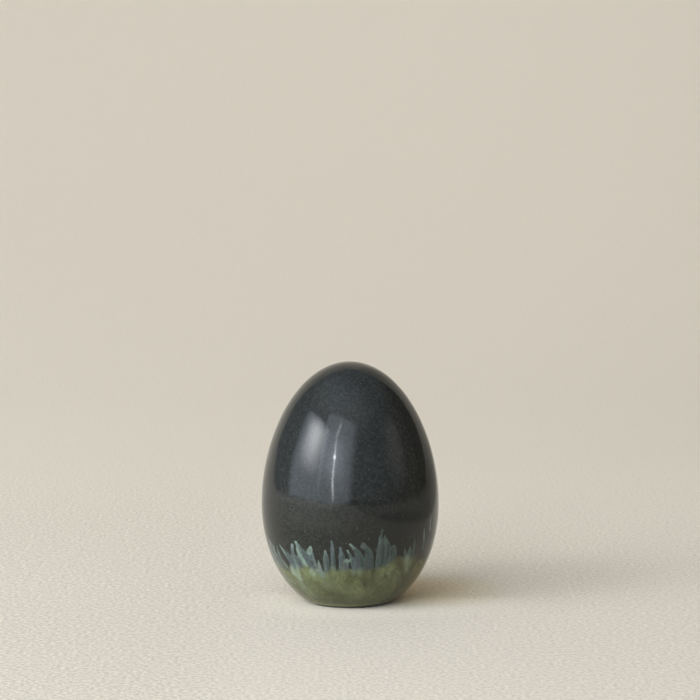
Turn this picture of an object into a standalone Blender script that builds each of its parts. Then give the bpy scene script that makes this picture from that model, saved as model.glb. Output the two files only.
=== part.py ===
"""A glazed ceramic egg that stands on a small flat foot.

The egg is one closed solid, turned about +Z. Units are metres, and the origin is the centre of the foot,
so the egg stands on the plane z = 0 with its pointed end up.
"""
import math

import bmesh
import bpy
from mathutils import Matrix, Vector

# Driving dimensions of the egg
BREADTH = 0.0540            # widest diameter
FULL_LENGTH = 0.0772        # pole to pole, as if the blunt end were whole
FOOT_CUT = 0.0041           # what the flat foot takes off the blunt end
FOOT_EDGE_RADIUS = 0.0008   # softened corner between the foot and the side

# The outline's radius is cos(latitude) times this cubic in s = sin(latitude), s = +1 at the crown
TAPER = -0.1108             # slims the crown and fills out the blunt end
ROUNDNESS = 0.0273          # fuller (+) or leaner (-) towards both ends
TAPER_CUBIC = 0.0108        # eases the taper close to the crown

# Fineness of the faceted solid
SECTORS = 72                # faces round the egg
LOWER_ROWS = 17             # rows from the foot's edge up to the widest ring
UPPER_ROWS = 28             # rows from the widest ring up to the crown
EDGE_ROWS = 3               # rows round the softened corner
SEARCH_STEPS = 40           # halvings when a latitude is searched for

# Colours of the glaze, linear
GLAZE_COLOUR = (0.020, 0.024, 0.025, 1.0)
GLAZE_ROUGHNESS = 0.12


def outline_factor(latitude):
    """Radius at a latitude, before it is scaled to the breadth."""
    s = math.sin(latitude)
    return math.cos(latitude) * (1.0 + TAPER * s + ROUNDNESS * s ** 2 + TAPER_CUBIC * s ** 3)


def factor_slope(latitude):
    """Change of the outline factor with latitude."""
    s = math.sin(latitude)
    c = math.cos(latitude)
    cubic = 1.0 + TAPER * s + ROUNDNESS * s ** 2 + TAPER_CUBIC * s ** 3
    cubic_slope = TAPER + 2.0 * ROUNDNESS * s + 3.0 * TAPER_CUBIC * s ** 2
    return c * c * cubic_slope - s * cubic


def bisect(function, low, high):
    """The latitude between low and high where the function changes sign."""
    low_is_positive = function(low) > 0.0
    for _ in range(SEARCH_STEPS):
        middle = 0.5 * (low + high)
        if (function(middle) > 0.0) == low_is_positive:
            low = middle
        else:
            high = middle
    return 0.5 * (low + high)


WIDEST_LATITUDE = bisect(factor_slope, -math.pi / 4, math.pi / 4)
RADIUS_SCALE = 0.5 * BREADTH / outline_factor(WIDEST_LATITUDE)


def outline_point(latitude):
    """Radius and height of the whole egg's outline at a latitude."""
    radius = RADIUS_SCALE * outline_factor(latitude)
    height = 0.5 * FULL_LENGTH * (math.sin(latitude) + 1.0) - FOOT_CUT
    return Vector((radius, height))


def outline_normal(latitude):
    """Unit vector that points out of the outline at a latitude."""
    radius_rate = RADIUS_SCALE * factor_slope(latitude)
    height_rate = 0.5 * FULL_LENGTH * math.cos(latitude)
    return Vector((height_rate, -radius_rate)).normalized()


def edge_centre(latitude):
    """Centre of a foot-edge arc that touches the outline at a latitude."""
    return outline_point(latitude) - FOOT_EDGE_RADIUS * outline_normal(latitude)


def outline_span(first, last, rows):
    """Points of the outline at evenly spaced latitudes from first up to, but not at, last."""
    return [outline_point(first + (last - first) * row / rows) for row in range(rows)]


def egg_profile():
    """Points up the egg's side, from the rim of the flat foot to just short of the crown."""
    touch = bisect(lambda a: edge_centre(a).y - FOOT_EDGE_RADIUS, -math.pi / 2 + 0.01, 0.0)
    centre = edge_centre(touch)
    outward = outline_normal(touch)
    arc_end = math.atan2(outward.y, outward.x)
    points = []
    for row in range(EDGE_ROWS):
        angle = -math.pi / 2 + (arc_end + math.pi / 2) * row / EDGE_ROWS
        points.append(centre + FOOT_EDGE_RADIUS * Vector((math.cos(angle), math.sin(angle))))
    points += outline_span(touch, WIDEST_LATITUDE, LOWER_ROWS)
    points += outline_span(WIDEST_LATITUDE, math.pi / 2, UPPER_ROWS)
    return points


def glaze():
    """Dark, glossy fired glaze."""
    material = bpy.data.materials.new("glaze")
    material.use_nodes = True
    shader = material.node_tree.nodes["Principled BSDF"]
    shader.inputs["Base Color"].default_value = GLAZE_COLOUR
    shader.inputs["Roughness"].default_value = GLAZE_ROUGHNESS
    shader.inputs["Metallic"].default_value = 0.0
    return material


def build_egg():
    """Turn the profile about +Z, with a flat face at the foot and a single point at the crown."""
    mesh_data = bmesh.new()
    rings = []
    for point in egg_profile():
        circle = bmesh.ops.create_circle(
            mesh_data, segments=SECTORS, radius=point.x, matrix=Matrix.Translation((0.0, 0.0, point.y)))
        rings.append(circle["verts"])
    for lower, upper in zip(rings, rings[1:]):
        for i in range(SECTORS):
            j = (i + 1) % SECTORS
            mesh_data.faces.new((lower[i], lower[j], upper[j], upper[i]))
    crown = mesh_data.verts.new((0.0, 0.0, FULL_LENGTH - FOOT_CUT))
    for i in range(SECTORS):
        mesh_data.faces.new((rings[-1][i], rings[-1][(i + 1) % SECTORS], crown))
    mesh_data.faces.new(rings[0])
    bmesh.ops.recalc_face_normals(mesh_data, faces=mesh_data.faces)
    mesh = bpy.data.meshes.new("egg")
    mesh_data.to_mesh(mesh)
    mesh_data.free()
    mesh.shade_smooth()
    mesh.set_sharp_from_angle(angle=math.radians(40.0))
    mesh.materials.append(glaze())
    egg = bpy.data.objects.new("egg", mesh)
    bpy.context.scene.collection.objects.link(egg)
    return egg


def main():
    """Clear the scene and build the egg."""
    for old_object in list(bpy.data.objects):
        bpy.data.objects.remove(old_object)
    build_egg()


main()
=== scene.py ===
"""A dark glazed ceramic egg, brushed with grass blades above a mossy green foot, in a plain pale studio.

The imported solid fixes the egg's size and place. This script makes the smooth fired surface on the same
outline, paints its glazes and sets the floor, the camera and the soft boxes. Lengths are in metres,
except for the brush marks and the glaze, whose small sizes are in millimetres. Azimuths are in degrees:
0 faces the camera (-Y) and they grow towards the right hand (+X).
"""

import logging
import math
from collections.abc import Callable
from dataclasses import dataclass
from enum import Enum
from typing import Any

import bpy
import numpy as np
from mathutils import Matrix, Vector


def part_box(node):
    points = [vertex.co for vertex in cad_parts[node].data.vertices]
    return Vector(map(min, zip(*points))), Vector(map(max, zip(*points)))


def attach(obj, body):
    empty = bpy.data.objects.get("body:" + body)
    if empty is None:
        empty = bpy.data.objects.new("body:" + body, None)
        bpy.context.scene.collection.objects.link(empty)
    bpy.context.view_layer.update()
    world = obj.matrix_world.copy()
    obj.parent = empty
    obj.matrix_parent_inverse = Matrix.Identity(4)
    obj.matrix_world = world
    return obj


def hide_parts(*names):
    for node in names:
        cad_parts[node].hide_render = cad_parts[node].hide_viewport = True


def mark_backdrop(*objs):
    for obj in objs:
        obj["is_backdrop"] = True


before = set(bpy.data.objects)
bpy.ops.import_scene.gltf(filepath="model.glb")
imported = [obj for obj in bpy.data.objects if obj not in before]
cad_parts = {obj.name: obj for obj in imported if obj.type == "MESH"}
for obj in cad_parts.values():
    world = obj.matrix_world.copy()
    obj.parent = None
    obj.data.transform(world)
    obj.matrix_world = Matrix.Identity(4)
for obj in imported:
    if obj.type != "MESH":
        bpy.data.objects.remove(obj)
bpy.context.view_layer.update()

NODE = "egg"
BODY = "root"
MM = 0.001

Colour = tuple[float, float, float]
Span = tuple[float, float]
Path = tuple[tuple[float, float], ...]


class Value:
    """A number socket in a node tree, on which arithmetic adds Math nodes."""

    def __init__(self, tree: "Tree", socket: bpy.types.NodeSocket) -> None:
        """Wrap one output socket.

        Args:
            tree: the tree that the socket is in.
            socket: an output that gives a number.
        """
        self.tree = tree
        self.socket = socket

    def __add__(self, other: "Term") -> "Value":
        """This plus other."""
        return self.tree.math("ADD", self, other)

    __radd__ = __add__

    def __sub__(self, other: "Term") -> "Value":
        """This minus other."""
        return self.tree.math("SUBTRACT", self, other)

    def __rsub__(self, other: "Term") -> "Value":
        """Other minus this."""
        return self.tree.math("SUBTRACT", other, self)

    def __mul__(self, other: "Term") -> "Value":
        """This times other."""
        return self.tree.math("MULTIPLY", self, other)

    __rmul__ = __mul__

    def __truediv__(self, other: "Term") -> "Value":
        """This divided by other."""
        return self.tree.math("DIVIDE", self, other)

    def __rtruediv__(self, other: "Term") -> "Value":
        """Other divided by this."""
        return self.tree.math("DIVIDE", other, self)

    def __gt__(self, other: "Term") -> "Value":
        """1 where this is greater than other, and 0 elsewhere."""
        return self.tree.math("GREATER_THAN", self, other)

    def clamped(self) -> "Value":
        """This, held between 0 and 1."""
        return self.tree.math("ADD", self, 0.0, clamp=True)

    def step(self, low: "Term", high: "Term") -> "Value":
        """A smooth rise from 0 where this is low to 1 where it is high."""
        node = self.tree.add("ShaderNodeMapRange", {"interpolation_type": "SMOOTHSTEP"}, {
            "Value": self, "From Min": low, "From Max": high, "To Min": 0.0, "To Max": 1.0})
        return Value(self.tree, node.outputs["Result"])


Term = Value | float | int


class Tree:
    """A node tree under construction, for a shader, a light or a geometry modifier."""

    def __init__(self, graph: bpy.types.NodeTree) -> None:
        """Start from an empty tree.

        Args:
            graph: the tree to fill; the nodes that it has are removed.
        """
        self.graph = graph
        graph.nodes.clear()

    def add(self, kind: str, settings: dict[str, Any] | None = None,
            inputs: dict[str | int, Any] | None = None) -> bpy.types.Node:
        """Add a node, set it up and connect it.

        Args:
            kind: Blender's name for the node's type.
            settings: properties of the node, which are set before its inputs.
            inputs: socket name or number, and its number, colour, vector, socket or Value.

        Returns:
            The new node.
        """
        node = self.graph.nodes.new(kind)
        for name, setting in (settings or {}).items():
            setattr(node, name, setting)
        for name, value in (inputs or {}).items():
            self._feed(node.inputs[name], value)
        return node

    def _feed(self, socket: bpy.types.NodeSocket, value: Any) -> None:
        """Link a socket or Value to an input, or set the input's own value."""
        if isinstance(value, Value):
            self.graph.links.new(value.socket, socket)
        elif isinstance(value, bpy.types.NodeSocket):
            self.graph.links.new(value, socket)
        elif socket.type == "RGBA" and len(value) == 3:
            socket.default_value = (*value, 1.0)
        else:
            socket.default_value = value

    def math(self, operation: str, *terms: Term, clamp: bool = False) -> Value:
        """Add a Math node.

        Args:
            operation: the node's operation.
            terms: its one, two or three numbers.
            clamp: hold the result between 0 and 1.

        Returns:
            The node's result.
        """
        settings = {"operation": operation, "use_clamp": clamp}
        node = self.add("ShaderNodeMath", settings, dict(enumerate(terms)))
        return Value(self, node.outputs[0])

    def mix(self, factor: Term, first: Any, second: Any, blend: str = "MIX") -> bpy.types.NodeSocket:
        """Blend two colours.

        Args:
            factor: 0 gives the first colour, 1 the second.
            first: a colour or a colour socket.
            second: a colour or a colour socket.
            blend: the node's blend type.

        Returns:
            The colour socket of the result.
        """
        settings = {"data_type": "RGBA", "blend_type": blend}
        node = self.add("ShaderNodeMix", settings, {0: factor, 6: first, 7: second})
        return node.outputs[2]

    def tinted(self, colour: Any, tint: Any) -> bpy.types.NodeSocket:
        """The colour, multiplied by a tint."""
        return self.mix(1.0, colour, tint, "MULTIPLY")

    def noise(self, vector: Any, scale: Term, detail: float = 2.0, roughness: float = 0.5) -> Value:
        """Add a noise texture.

        Args:
            vector: where it is read.
            scale: waves per unit of the vector.
            detail: finer layers on top of the first.
            roughness: strength of the finer layers.

        Returns:
            Its value, around 0.5.
        """
        node = self.add("ShaderNodeTexNoise", None, {
            "Vector": vector, "Scale": scale, "Detail": detail, "Roughness": roughness})
        return Value(self, node.outputs[0])

    def scaled(self, vector: Any, factors: Colour) -> bpy.types.NodeSocket:
        """The vector, multiplied on each axis by its factor."""
        node = self.add("ShaderNodeVectorMath", {"operation": "MULTIPLY"}, {0: vector, 1: factors})
        return node.outputs["Vector"]

    def axes(self, vector: Any) -> tuple[Value, Value, Value]:
        """The vector's X, Y and Z."""
        outputs = self.add("ShaderNodeSeparateXYZ", None, {0: vector}).outputs
        return Value(self, outputs["X"]), Value(self, outputs["Y"]), Value(self, outputs["Z"])

    def attribute(self, name: str, output: str) -> bpy.types.NodeSocket:
        """One output, such as its colour or vector, of an attribute of the mesh."""
        return self.add("ShaderNodeAttribute", {"attribute_name": name}).outputs[output]

    def number(self, name: str) -> Value:
        """A number attribute of the mesh."""
        return Value(self, self.attribute(name, "Fac"))


@dataclass(frozen=True)
class EggOutline:
    """The egg's side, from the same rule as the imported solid: radius and height by latitude.

    At a latitude, the radius is its cosine times a cubic in its sine.

    Attributes:
        breadth: width of the egg where it is widest.
        height: from the foot to the crown.
        foot_cut: how much of the blunt end the foot cuts off.
        foot_edge_radius: radius of the rounded edge round the foot.
        taper: the cubic's first factor, which slims the crown and fills the blunt end.
        roundness: its second factor, which fills both ends.
        taper_cubic: its third factor, which corrects the taper near the ends.
    """

    breadth: float
    height: float
    foot_cut: float = 4.1 * MM
    foot_edge_radius: float = 0.8 * MM
    taper: float = -0.1108
    roundness: float = 0.0273
    taper_cubic: float = 0.0108

    HALVINGS = 48

    @property
    def full_length(self) -> float:
        """Pole to pole, as if the blunt end were whole."""
        return self.height + self.foot_cut

    @property
    def radius_scale(self) -> float:
        """What turns the outline's factor into a radius."""
        return 0.5 * self.breadth / self.factor(self.solve(self.factor_slope, -45.0, 45.0))

    def cubic(self, s: float) -> float:
        """How much fuller than a circle's the outline is, at the sine of a latitude."""
        return 1.0 + self.taper * s + self.roundness * s ** 2 + self.taper_cubic * s ** 3

    def factor(self, latitude: float) -> float:
        """Radius at a latitude in radians, before it is scaled to the breadth."""
        return math.cos(latitude) * self.cubic(math.sin(latitude))

    def factor_slope(self, latitude: float) -> float:
        """Change of the factor with latitude."""
        s = math.sin(latitude)
        c = math.cos(latitude)
        cubic_slope = self.taper + 2.0 * self.roundness * s + 3.0 * self.taper_cubic * s ** 2
        return c * c * cubic_slope - s * self.cubic(s)

    def solve(self, function: Callable[[float], float], low: float, high: float) -> float:
        """Find where a function of the latitude changes sign.

        Args:
            function: takes a latitude in radians.
            low: latitude in degrees below the change.
            high: latitude in degrees above it.

        Returns:
            The latitude in radians.
        """
        low, high = math.radians(low), math.radians(high)
        sign = function(low) > 0.0
        for _ in range(self.HALVINGS):
            middle = 0.5 * (low + high)
            if (function(middle) > 0.0) == sign:
                low = middle
            else:
                high = middle
        return 0.5 * (low + high)

    def point(self, latitude: float) -> Vector:
        """Radius and height of the outline at a latitude."""
        z = 0.5 * self.full_length * (math.sin(latitude) + 1.0) - self.foot_cut
        return Vector((self.radius_scale * self.factor(latitude), z))

    def normal(self, latitude: float) -> Vector:
        """Outward unit vector at a latitude, as radius and height."""
        rise = 0.5 * self.full_length * math.cos(latitude)
        return Vector((rise, -self.radius_scale * self.factor_slope(latitude))).normalized()

    def edge_centre(self, latitude: float) -> Vector:
        """Centre of a foot-edge arc that touches the side at a latitude."""
        return self.point(latitude) - self.foot_edge_radius * self.normal(latitude)

    def touch_latitude(self) -> float:
        """Latitude where the side meets the rounded edge of the foot."""
        return self.solve(lambda a: self.edge_centre(a).y - self.foot_edge_radius, -89.0, 0.0)

    def latitude_at(self, z: float) -> float:
        """Latitude at a height above the foot."""
        return math.asin(2.0 * (z + self.foot_cut) / self.full_length - 1.0)

    def radius_at(self, z: float) -> float:
        """Radius at a height above the foot."""
        return self.point(self.latitude_at(z)).x


@dataclass
class EggSurface:
    """The fired surface of the egg, as a geometry-node tree of rows and sectors on the outline.

    Attributes:
        outline: the egg's side.
        sectors: steps round the egg.
        foot_rows: rows from the middle of the foot to its edge.
        edge_rows: rows round the edge of the foot.
        painted_rows: close rows up the side, where the brush marks are.
        plain_rows: wider rows from there to the crown.
        painted_height: where the close rows end.
        weld_distance: points that are closer than this become one.
        ripple_depth: how far in the uneven glaze can go.
        ripple_size: length of its waves.
        ripple_seed: where in the noise the ripple is read.
        ripple_start: height where the ripple begins.
        ripple_full: height from which it has its whole depth.
    """

    outline: EggOutline
    sectors: int = 560
    foot_rows: int = 6
    edge_rows: int = 5
    painted_rows: int = 112
    plain_rows: int = 46
    painted_height: float = 31.0 * MM
    weld_distance: float = 0.002 * MM
    ripple_depth: float = 0.10 * MM
    ripple_size: float = 9.0 * MM
    ripple_seed: float = 4.0
    ripple_start: float = 1.0 * MM
    ripple_full: float = 8.0 * MM

    def sizes(self) -> dict[str, float]:
        """The tree's named inputs and their values."""
        outline = self.outline
        touch = outline.touch_latitude()
        outward = outline.normal(touch)
        return {
            "Radius scale": outline.radius_scale,
            "Full length": outline.full_length,
            "Foot cut": outline.foot_cut,
            "Taper": outline.taper,
            "Roundness": outline.roundness,
            "Taper cubic": outline.taper_cubic,
            "Edge radius": outline.foot_edge_radius,
            "Edge centre": outline.edge_centre(touch).x,
            "Edge end angle": math.atan2(outward.y, outward.x),
            "Touch latitude": touch,
            "Painted latitude": outline.latitude_at(self.painted_height),
            "Ripple depth": self.ripple_depth,
            "Ripple size": self.ripple_size,
            "Ripple seed": self.ripple_seed,
        }

    def build(self, material: bpy.types.Material) -> bpy.types.Object:
        """Make the surface as a plain mesh object.

        Args:
            material: the egg's glaze.

        Returns:
            The egg's visible piece, at the origin.
        """
        graph = bpy.data.node_groups.new("fired egg surface", "GeometryNodeTree")
        sizes = self.sizes()
        identifiers = {
            name: graph.interface.new_socket(name, in_out="INPUT", socket_type="NodeSocketFloat").identifier
            for name in sizes
        }
        graph.interface.new_socket("Geometry", in_out="OUTPUT", socket_type="NodeSocketGeometry")
        self._fill(Tree(graph), material)
        carrier = bpy.data.objects.new("carrier", bpy.data.meshes.new("carrier"))
        bpy.context.scene.collection.objects.link(carrier)
        modifier = carrier.modifiers.new("surface", "NODES")
        modifier.node_group = graph
        for name, value in sizes.items():
            modifier[identifiers[name]] = value
        bpy.context.view_layer.update()
        evaluated = carrier.evaluated_get(bpy.context.evaluated_depsgraph_get())
        mesh = bpy.data.meshes.new_from_object(evaluated)
        mesh.name = "fired_egg"
        piece = bpy.data.objects.new("glazed_egg", mesh)
        bpy.context.scene.collection.objects.link(piece)
        carrier.modifiers.clear()
        bpy.data.objects.remove(carrier)
        return piece

    def _fill(self, tree: Tree, material: bpy.types.Material) -> None:
        """Add the nodes that turn a flat grid into the egg's closed surface."""
        group = tree.add("NodeGroupInput").outputs
        size = {name: Value(tree, group[name]) for name in self.sizes()}
        rows = self.foot_rows + self.edge_rows + self.painted_rows + self.plain_rows
        grid = tree.add("GeometryNodeMeshGrid", None, {
            "Size X": 1.0, "Size Y": 1.0, "Vertices X": self.sectors + 1, "Vertices Y": rows + 1})
        across, up, _ = tree.axes(grid.outputs["UV Map"])
        turn = (across - 0.5) * math.tau
        row = up * rows
        radius, height = self._profile(tree, row, size)
        position = tree.add("ShaderNodeCombineXYZ", None, {
            "X": radius * tree.math("SINE", turn),
            "Y": -1.0 * radius * tree.math("COSINE", turn),
            "Z": height})
        turned = tree.add("GeometryNodeSetPosition", None, {
            "Geometry": grid.outputs["Mesh"], "Position": position.outputs[0]})
        named = tree.add(
            "GeometryNodeStoreNamedAttribute", {"data_type": "FLOAT2", "domain": "CORNER"},
            {"Geometry": turned.outputs[0], "Name": "OFBake", "Value": grid.outputs["UV Map"]})
        closed = tree.add("GeometryNodeMergeByDistance", None, {
            "Geometry": named.outputs[0], "Distance": self.weld_distance})
        rippled = tree.add("GeometryNodeSetPosition", None, {
            "Geometry": closed.outputs[0], "Offset": self._ripple(tree, size)})
        smooth = tree.add("GeometryNodeSetShadeSmooth", None, {"Geometry": rippled.outputs[0]})
        realized = tree.add("GeometryNodeRealizeInstances", None, {"Geometry": smooth.outputs[0]})
        dressed = tree.add("GeometryNodeSetMaterial", None, {
            "Geometry": realized.outputs[0], "Material": material})
        tree.add("NodeGroupOutput", None, {"Geometry": dressed.outputs[0]})

    def _profile(self, tree: Tree, row: Value, size: dict[str, Value]) -> tuple[Value, Value]:
        """Radius and height of a row, from the foot's centre out, round its edge and up to the crown.

        Args:
            tree: the tree to add to.
            row: the row's number, from 0 at the foot's centre.
            size: the tree's inputs.

        Returns:
            The radius and the height.
        """
        edge_start = self.foot_rows
        side_start = edge_start + self.edge_rows
        plain_start = side_start + self.painted_rows
        across_foot = (row / self.foot_rows).clamped()
        round_edge = ((row - edge_start) / self.edge_rows).clamped()
        up_paint = ((row - side_start) / self.painted_rows).clamped()
        up_plain = ((row - plain_start) / self.plain_rows).clamped()
        latitude = (
            size["Touch latitude"]
            + up_paint * (size["Painted latitude"] - size["Touch latitude"])
            + up_plain * (0.5 * math.pi - size["Painted latitude"]))
        s = tree.math("SINE", latitude)
        cubic = 1.0 + s * (size["Taper"] + s * (size["Roundness"] + s * size["Taper cubic"]))
        side_radius = size["Radius scale"] * tree.math("COSINE", latitude) * cubic
        side_height = 0.5 * size["Full length"] * (s + 1.0) - size["Foot cut"]
        angle = round_edge * (size["Edge end angle"] + 0.5 * math.pi) - 0.5 * math.pi
        foot_radius = size["Edge centre"] * across_foot + size["Edge radius"] * tree.math("COSINE", angle)
        foot_height = size["Edge radius"] * (tree.math("SINE", angle) + 1.0)
        on_side = row > side_start - 0.5
        radius = foot_radius + on_side * (side_radius - foot_radius)
        height = foot_height + on_side * (side_height - foot_height)
        return radius, height

    def _ripple(self, tree: Tree, size: dict[str, Value]) -> bpy.types.NodeSocket:
        """Inward offset of the slightly uneven glaze, none at the foot."""
        position = tree.add("GeometryNodeInputPosition").outputs[0]
        seeded = tree.add("ShaderNodeCombineXYZ", None, {"Z": size["Ripple seed"]})
        shifted = tree.add("ShaderNodeVectorMath", {"operation": "ADD"}, {
            0: position, 1: seeded.outputs[0]})
        waves = tree.noise(shifted.outputs[0], 1.0 / size["Ripple size"], 1.0, 0.35)
        _, _, height = tree.axes(position)
        depth = -1.0 * size["Ripple depth"] * waves * height.step(self.ripple_start, self.ripple_full)
        normal = tree.add("GeometryNodeInputNormal").outputs[0]
        offset = tree.add("ShaderNodeVectorMath", {"operation": "SCALE"}, {0: normal, "Scale": depth})
        return offset.outputs["Vector"]


class Pigment(Enum):
    """Brushed glaze colours, as linear reflectances.

    BARE is the dark body's own colour, and a blade of it wipes off the blades below.
    """

    SLATE = (0.074, 0.099, 0.098)
    DUSK = (0.078, 0.092, 0.102)
    TEAL = (0.048, 0.074, 0.066)
    DEEP = (0.026, 0.040, 0.036)
    PALE = (0.140, 0.178, 0.168)
    MINT = (0.175, 0.245, 0.205)
    CELADON = (0.255, 0.320, 0.225)
    MOSS = (0.155, 0.185, 0.095)
    LEMON = (0.240, 0.290, 0.140)
    OLIVE = (0.048, 0.052, 0.020)
    RUST = (0.075, 0.058, 0.030)
    BARE = (0.017, 0.019, 0.017)


@dataclass(frozen=True)
class Stroke:
    """One brush mark on the egg, from its tip down to its base.

    Attributes:
        path: azimuths in degrees and heights in millimetres that its middle passes through.
        width: its width in millimetres.
        pigment: its colour.
        tip_pigment: the colour that its tip starts with, where it is another one.
        strength: how well it covers, from 0 to 1.
        tip: width of its tip, as a share of its width.
        base: width of its base, as a share of its width.
        softness: half of the width of its blurred edge, in millimetres.
    """

    path: Path
    width: float
    pigment: Pigment
    tip_pigment: Pigment | None = None
    strength: float = 1.0
    tip: float = 0.25
    base: float = 1.0
    softness: float = 0.18

    SAMPLES = 40
    TIP_TAPER = 0.45
    TIP_COLOUR_SHARE = 0.30
    MM_PER_DEGREE = 0.4

    def shares(self) -> np.ndarray:
        """Even steps along the mark, 0 at its tip and 1 at its base."""
        return np.linspace(0.0, 1.0, self.SAMPLES)

    def centreline(self, outline: EggOutline) -> np.ndarray:
        """Points along the middle of the mark, on the egg's surface.

        Args:
            outline: the egg's side.

        Returns:
            One point a row, in millimetres.
        """
        azimuths, heights = np.array(self.path).T
        steps = np.hypot(np.diff(azimuths) * self.MM_PER_DEGREE, np.diff(heights))
        places = np.concatenate([[0.0], np.cumsum(steps)]) / steps.sum()
        order = len(self.path) - 1
        azimuth = np.radians(np.polyval(np.polyfit(places, azimuths, order), self.shares()))
        height = np.polyval(np.polyfit(places, heights, order), self.shares())
        radius = np.array([outline.radius_at(z * MM) / MM for z in height])
        return np.stack([radius * np.sin(azimuth), -radius * np.cos(azimuth), height], axis=1)

    def half_widths(self) -> np.ndarray:
        """Half of the mark's width at each step, in millimetres."""
        share = self.shares()
        rise = smooth(share, 0.0, self.TIP_TAPER)
        tapered = self.tip + (1.0 - self.tip) * rise
        return 0.5 * self.width * tapered * (1.0 + (self.base - 1.0) * share)

    def colours(self, share: np.ndarray) -> np.ndarray:
        """Colour at each place along the mark, one a row."""
        body = np.array(self.pigment.value)
        tip = np.array((self.tip_pigment or self.pigment).value)
        blend = smooth(share, 0.0, self.TIP_COLOUR_SHARE)[:, None]
        return tip + (body - tip) * blend


def smooth(value: np.ndarray, low: float, high: float) -> np.ndarray:
    """A smooth rise from 0 where value is low to 1 where it is high."""
    share = np.clip((value - low) / (high - low), 0.0, 1.0)
    return share * share * (3.0 - 2.0 * share)


@dataclass(frozen=True)
class BladeKind:
    """Least and most, in millimetres, that a kind of blade rises above the green band and is wide."""

    rise: Span
    width: Span


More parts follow.
